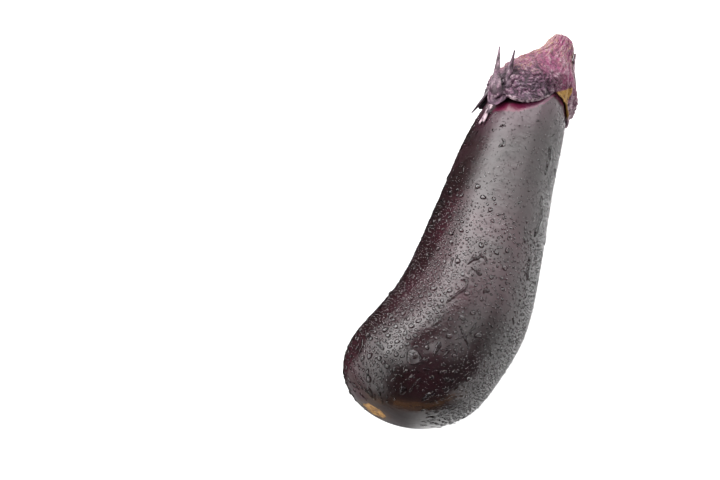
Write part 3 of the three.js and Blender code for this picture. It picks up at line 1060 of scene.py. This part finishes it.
def drop_piece(name, drops, material, rng, wet):
    """One object of many drops, each a (station, angle, width), closed underneath just inside the skin."""
    sides, rings, shine = DROP_FINISH[name]
    s, angle, size = (column[:, None] for column in np.array(drops).T)
    count = len(drops)
    turn = radians(angles_of(sides))[None, :]
    squeeze, lean = rng.uniform(*DROP_SQUEEZE, (count, 1)), rng.uniform(0, math.pi, (count, 1))
    phase, second_phase = rng.uniform(0, 6, (count, 1)), rng.uniform(0, 6, (count, 1))
    wobble = 1 + 0.1 * np.cos(2 * turn + phase) + 0.07 * np.cos(3 * turn + second_phase)
    tall = size * rng.uniform(*DROP_HEIGHT, (count, 1))
    sunk = DROP_SUNK * size
    zero = np.zeros((count, 1))
    u, v, h = [zero], [zero], [tall - sunk]
    for ring in range(1, rings + 1):
        t = math.sin((math.pi / 2) * ring / rings)
        a = size / 2 * wobble * t * np.cos(turn) * squeeze
        b = size / 2 * wobble * t * np.sin(turn) / squeeze
        u.append(a * np.cos(lean) - b * np.sin(lean))
        v.append(a * np.sin(lean) + b * np.cos(lean))
        h.append(np.repeat(tall * math.sqrt(max(0, 1 - t * t)) - sunk, sides, axis=1))
    add_wetted_rings(wet, s, angle, u[-1], v[-1], shine)
    u, v = np.concatenate([*u, zero], axis=1), np.concatenate([*v, zero], axis=1)
    h = np.concatenate([*h, -DROP_BELLY * size], axis=1)
    points = on_skin(s, angle, u, v, h)
    one = [face[:1] + face[:0:-1] for face in ring_faces(0, rings, sides)]
    per_drop = points.shape[1]
    faces = [tuple(k + i * per_drop for k in face) for i in range(count) for face in one]
    return make_object(name, points.reshape(-1, 3), faces, material)


def run_mesh(route, width, height, rng, first, wet):
    """A run or the raised edge of a film of water along a route of [station, angle] on the skin."""
    knots = np.array(route, float)
    steps = np.hypot(np.diff(knots[:, 0]), radians(np.diff(knots[:, 1])) * fruit_radius(knots[1:, 0]))
    length = steps.sum()
    at_knots = np.concatenate([[0.0], np.cumsum(steps)]) / length
    count = int(np.clip(length / RUN_STEP, 10, 60))
    t = np.linspace(0, 1, count)
    s, angle = (through(np.stack([at_knots, places], -1), t) for places in knots.T)
    along = np.gradient(s)
    around = radians(np.gradient(angle)) * fruit_radius(s)
    norm = np.maximum(np.hypot(along, around), 1e-9)

    def off_route(across):
        """How far along and round the skin it is to points across the run."""
        return -across * (around / norm)[:, None], across * (along / norm)[:, None]

    wander = np.stack([t * length, np.full(count, rng.uniform(0, 50)), np.zeros(count)], -1)
    sway = noise_at(wander, RUN_SWAY_LENGTH, 1) * RUN_SWAY
    ends = np.sqrt(np.maximum(0, 1 - np.abs(2 * t - 1) ** 3.5)) * 0.95 + 0.05
    half = width / 2 * ends * (1 + RUN_UNEVENNESS * noise_at(wander, 1.5, 2))
    tall = height * ends * (1 + 0.25 * noise_at(wander, 2.6, 3))
    turn = radians(angles_of(RUN_SIDES))[None, :]
    across = np.cos(turn) * half[:, None] + sway[:, None]
    rise = np.maximum(np.sin(turn), 0) ** 0.8 * tall[:, None] - np.maximum(-np.sin(turn), 0) * RUN_SUNK
    rings = on_skin(s[:, None], angle[:, None], *off_route(across), rise)
    edges = sway[:, None] + half[:, None] * [[WETTED_REACH, -WETTED_REACH]]
    add_wetted(wet, s[:, None], angle[:, None], *off_route(edges), grid_faces(count, 2))
    points = np.vstack([rings[:1].mean(1), rings.reshape(-1, 3), rings[-1:].mean(1)])
    faces = ring_faces(0, count, RUN_SIDES)
    a, b, c = (points[[face[i] for face in faces]] for i in range(3))
    centre = points.mean(0)
    if ((a - centre) * np.cross(b - centre, c - centre)).sum() < 0:
        faces = [face[::-1] for face in faces]
    return points, [tuple(k + first for k in face) for face in faces]


def wetness(s, angle, patches):
    """How thickly drops stand on the skin at a place, 0 to 1."""
    total = DRY_SKIN
    for *patch, amount in patches:
        total = total + amount * patch_share(s, angle, *patch)
    return clamp(total)


def crowded(s, angle, size, taken):
    """Whether water of that width would touch what already stands there."""
    v = radians(angle) * float(fruit_radius(s))
    cell = (int(s // GROUND_CELL), int(v // GROUND_CELL))
    near = [d for a in (-1, 0, 1) for b in (-1, 0, 1) for d in taken.get((cell[0] + a, cell[1] + b), [])]
    return any(math.hypot(s - d[0], v - d[1]) < LEAST_SPACING * (size + d[2]) for d in near)


def take(s, angle, size, taken):
    """Marks the ground of a drop, so that nothing else stands in it."""
    v = float(radians(angle) * fruit_radius(s))
    taken.setdefault((int(s // GROUND_CELL), int(v // GROUND_CELL)), []).append((s, v, size))


def scatter(count, sizes, last, patches, steepest, rng, taken):
    """Places for drops, thicker where the skin is wetter, kept apart from each other and from the calyx."""
    tries = count * TRIES_PER_DROP
    s, angle = rng.uniform(FIRST_DROP, last, tries), rng.uniform(-180, 180, tries)
    size = mix(*sizes, rng.uniform(size=tries) ** DROP_POWER)
    kept = rng.uniform(size=tries) * BULB_RADIUS < fruit_radius(s)
    kept &= rng.uniform(size=tries) < wetness(s, angle, patches)
    facing_up = fruit_directions(s, angle)[2][..., 2]
    holding = smooth(steepest - STEEPNESS_BLEND, steepest + STEEPNESS_BLEND, facing_up)
    kept &= rng.uniform(size=tries) < holding
    kept &= s < margin_station(angle) - CALYX_CLEARANCE - size
    kept &= fruit_point(s, angle)[..., 2] > LOWEST_DROP
    kept &= scar_distance(fruit_point(s, angle), SCAR_OFFSET) > SCAR_RADIUS
    drops = []
    for place in zip(s[kept], angle[kept], size[kept]):
        if not crowded(*place, taken):
            take(*place, taken)
            drops.append(place)
        if len(drops) == count:
            break
    return drops


def along_route(route):
    """Places close together along a route of [station, angle]."""
    for (from_s, from_angle), (to_s, to_angle) in zip(route, route[1:]):
        for t in np.linspace(0, 1, PLACES_PER_LEG):
            yield mix(from_s, to_s, t), mix(from_angle, to_angle, t)


def wandering_route(lengths, rng):
    """A bent route over the skin from a random place."""
    s, angle = rng.uniform(*RUN_STATIONS), rng.uniform(-180, 180)
    heading = rng.uniform(0, 2 * math.pi)
    length = rng.uniform(*lengths)
    legs = max(2, round(length / RUN_LEG))
    route = [[s, angle]]
    for _ in range(legs):
        s += length / legs * math.cos(heading)
        angle += float(turned(length / legs * math.sin(heading), s))
        route.append([s, angle])
        heading += rng.uniform(-RUN_TURN, RUN_TURN)
    return route


def can_lie(route, width, taken):
    """Whether a run there is clear of the scar, the calyx, the surface below and other water."""
    s, angle = np.array(route).T
    from_tip, from_calyx, from_below = RUN_CLEARANCE
    clear = (s > from_tip) & (s < margin_station(angle) - from_calyx)
    clear &= fruit_point(s, angle)[..., 2] > LOWEST_DROP + from_below
    return clear.all() and not any(crowded(*place, width, taken) for place in along_route(route))


def choose_runs(rng, taken):
    """The long runs and seeded ones by the rule in RUN_KINDS, each with its ground marked as taken."""
    runs = []

    def lay(route, width, height):
        runs.append((route, width, height))
        for place in along_route(route):
            take(*place, width, taken)

    for run in LONG_RUNS:
        lay(*run)
    for tries, lengths, widths, heights in RUN_KINDS:
        for _ in range(tries):
            route = wandering_route(lengths, rng)
            width, height = rng.uniform(*widths), rng.uniform(*heights)
            if can_lie(route, width, taken):
                lay(route, width, height)
    return runs


def make_water():
    rng = np.random.default_rng(SEED)
    water = water_material()
    taken = {}
    wet = {"points": [], "faces": [], "s": [], "angle": []}
    take(*PEAR_DROP, taken)
    points, faces, count = [], [], 0
    for run in choose_runs(rng, taken):
        more, more_faces = run_mesh(*run, rng, count, wet)
        points.append(more)
        faces.extend(more_faces)
        count += len(more)
    pieces = [make_object("water_runs", np.vstack(points), faces, water)]
    pieces.append(drop_piece("pear_drop", [PEAR_DROP], water, rng, wet))
    large = [drop for kind in LARGE_DROPS for drop in scatter(*kind, rng, taken)]
    pieces.append(drop_piece("large_drops", large, water, rng, wet))
    for name, kind in FINE_DROPS.items():
        pieces.append(drop_piece(name, scatter(*kind, rng, taken), water, rng, wet))
    ground = np.vstack(wet["points"])
    attributes = skin_attributes(ground, np.concatenate(wet["s"]), np.concatenate(wet["angle"]))
    wetted = make_object("wetted_skin", ground, wet["faces"], wetted_material(), attributes)
    return pieces, wetted


# ---- Stage


def direction(azimuth, elevation):
    """A unit vector: azimuth from straight away from the camera to its right, elevation over the floor."""
    back = radians(CAMERA_AZIMUTH)
    away = Vector((-math.sin(back), math.cos(back), 0))
    right = Vector((math.cos(back), math.sin(back), 0))
    level = math.cos(radians(elevation))
    flat = away * math.cos(radians(azimuth)) + right * math.sin(radians(azimuth))
    return flat * level + Vector((0, 0, math.sin(radians(elevation))))


def make_world():
    """Soft oval lights all round, and white behind the object."""
    world = bpy.data.worlds.new("studio")
    bpy.context.scene.world = world
    world.use_nodes = True
    nodes = Nodes(world.node_tree)
    ray = nodes.add("ShaderNodeTexCoord").outputs["Generated"]

    def along(axis):
        node = nodes.add("ShaderNodeVectorMath", operation="DOT_PRODUCT")
        nodes.put(ray, node.inputs[0])
        nodes.put(axis, node.inputs[1])
        return node.outputs["Value"]

    total = AMBIENT
    for azimuth, elevation, half_width, half_height, softness, radiance in LIGHTS:
        ahead = along(direction(azimuth, elevation))
        aside = along(direction(azimuth + 90, 0))
        above = along(direction(azimuth, elevation + 90))
        x = nodes.math("DIVIDE", nodes.math("ARCTAN2", aside, ahead), radians(half_width))
        y = nodes.math("DIVIDE", nodes.math("ARCSINE", above), radians(half_height))
        off = nodes.math("SQRT", nodes.math("ADD", nodes.times(x, x), nodes.times(y, y)))
        total = nodes.math("ADD", total, nodes.ramp(off, 1 + softness, 1 - softness, 0.0, radiance))
    seen = nodes.add("ShaderNodeLightPath").outputs["Is Camera Ray"]
    strength = nodes.math("ADD", nodes.times(total, nodes.math("SUBTRACT", 1.0, seen)), seen)
    background = nodes.add("ShaderNodeBackground")
    nodes.fill(background, {"Color": (1, 1, 1, 1), "Strength": strength})
    nodes.link(background.outputs[0], nodes.add("ShaderNodeOutputWorld").inputs["Surface"])


def make_floor():
    material, nodes, shader = new_material("floor")
    grey = (FLOOR_GREY, FLOOR_GREY, FLOOR_GREY, 1)
    nodes.fill(shader, {"Base Color": grey, "Roughness": 0.9, "Specular IOR Level": 0.0})
    nodes.fill(shader, {"Emission Color": (1, 1, 1, 1), "Emission Strength": FLOOR_GLOW})
    half = FLOOR_SIZE / 2
    mesh = bpy.data.meshes.new("floor")
    corners = [(-half, -half, 0), (half, -half, 0), (half, half, 0), (-half, half, 0)]
    mesh.from_pydata(corners, [], [(0, 1, 2, 3)])
    mesh.materials.append(material)
    floor = bpy.data.objects.new("floor", mesh)
    floor.location.z = -FLOOR_GAP
    bpy.context.scene.collection.objects.link(floor)


def add_card(name, points, faces, shade, cover):
    """A dark card that only gloss sees, as stands beside shiny things in a studio. Its cover is 0 to 1."""
    material, nodes, shader = new_material(name)
    color = (shade, shade, shade, 1)
    nodes.fill(shader, {"Base Color": color, "Roughness": 1.0, "Alpha": nodes.attribute("cover")})
    card = make_object(name, points, faces, material, {"cover": cover})
    card.visible_camera = False
    card.visible_diffuse = False
    card.visible_shadow = False


def around_bulb(turns, distance, height):
    """A row of points round the middle of the bulb, the turn counted from +Y towards -X."""
    across = through(SIDE_BEND, np.array([BULB_STATION]))[0]
    x = BULB_STATION - distance * np.sin(radians(turns))
    y = across + distance * np.cos(radians(turns))
    return np.stack([x, y, np.full(len(turns), height)], -1)


def make_front_cards():
    share = np.linspace(0, 1, CARD_COLUMNS)
    cover = smooth(0, CARD_SOFTNESS, share) * smooth(1, 1 - CARD_SOFTNESS, share)
    for name, turns, near, far, shade in (FRONT_WALL, FRONT_GROUND):
        around = np.linspace(*turns, CARD_COLUMNS)
        points = np.stack([around_bulb(around, *near), around_bulb(around, *far)], 1)
        add_card(name, points.reshape(-1, 3), grid_faces(CARD_COLUMNS, 2), shade, np.repeat(cover, 2))


def make_side_flag():
    """The card along the fruit's +Y side, where the photo has a dark neighbour."""
    stations = np.linspace(*SIDE_ENDS, SIDE_COLUMNS)
    edge = through(SIDE_BEND, stations) + fruit_radius(stations)
    taller = mix(1, NECK_RAISE, smooth(110, 170, stations))
    points = [
        [s, y + across, up * raised]
        for s, y, raised in zip(stations, edge, taller)
        for across, up in SIDE_SECTION
    ]
    faces = grid_faces(SIDE_COLUMNS, len(SIDE_SECTION))
    add_card("side_flag", np.array(points), faces, SIDE_SHADE, np.ones(len(points)))


def make_camera():
    camera = bpy.data.objects.new("camera", bpy.data.cameras.new("camera"))
    back = -direction(0, 0) * math.cos(radians(CAMERA_ELEVATION))
    back.z = math.sin(radians(CAMERA_ELEVATION))
    camera.location = CAMERA_TARGET + back * CAMERA_DISTANCE
    camera.rotation_euler = back.to_track_quat("Z", "Y").to_euler()
    camera.data.lens = CAMERA_LENS
    camera.data.sensor_width = SENSOR_WIDTH
    bpy.context.scene.collection.objects.link(camera)
    bpy.context.scene.camera = camera


make_camera()
make_world()
make_floor()
make_front_cards()
make_side_flag()

skin = make_skin()
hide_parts("fruit")
calyx = make_calyx()
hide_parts("calyx_and_stem")
water, wetted = make_water()
for piece in [skin, calyx, wetted, *water]:
    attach(piece, "root")

bpy.context.scene.view_settings.view_transform = "Standard"
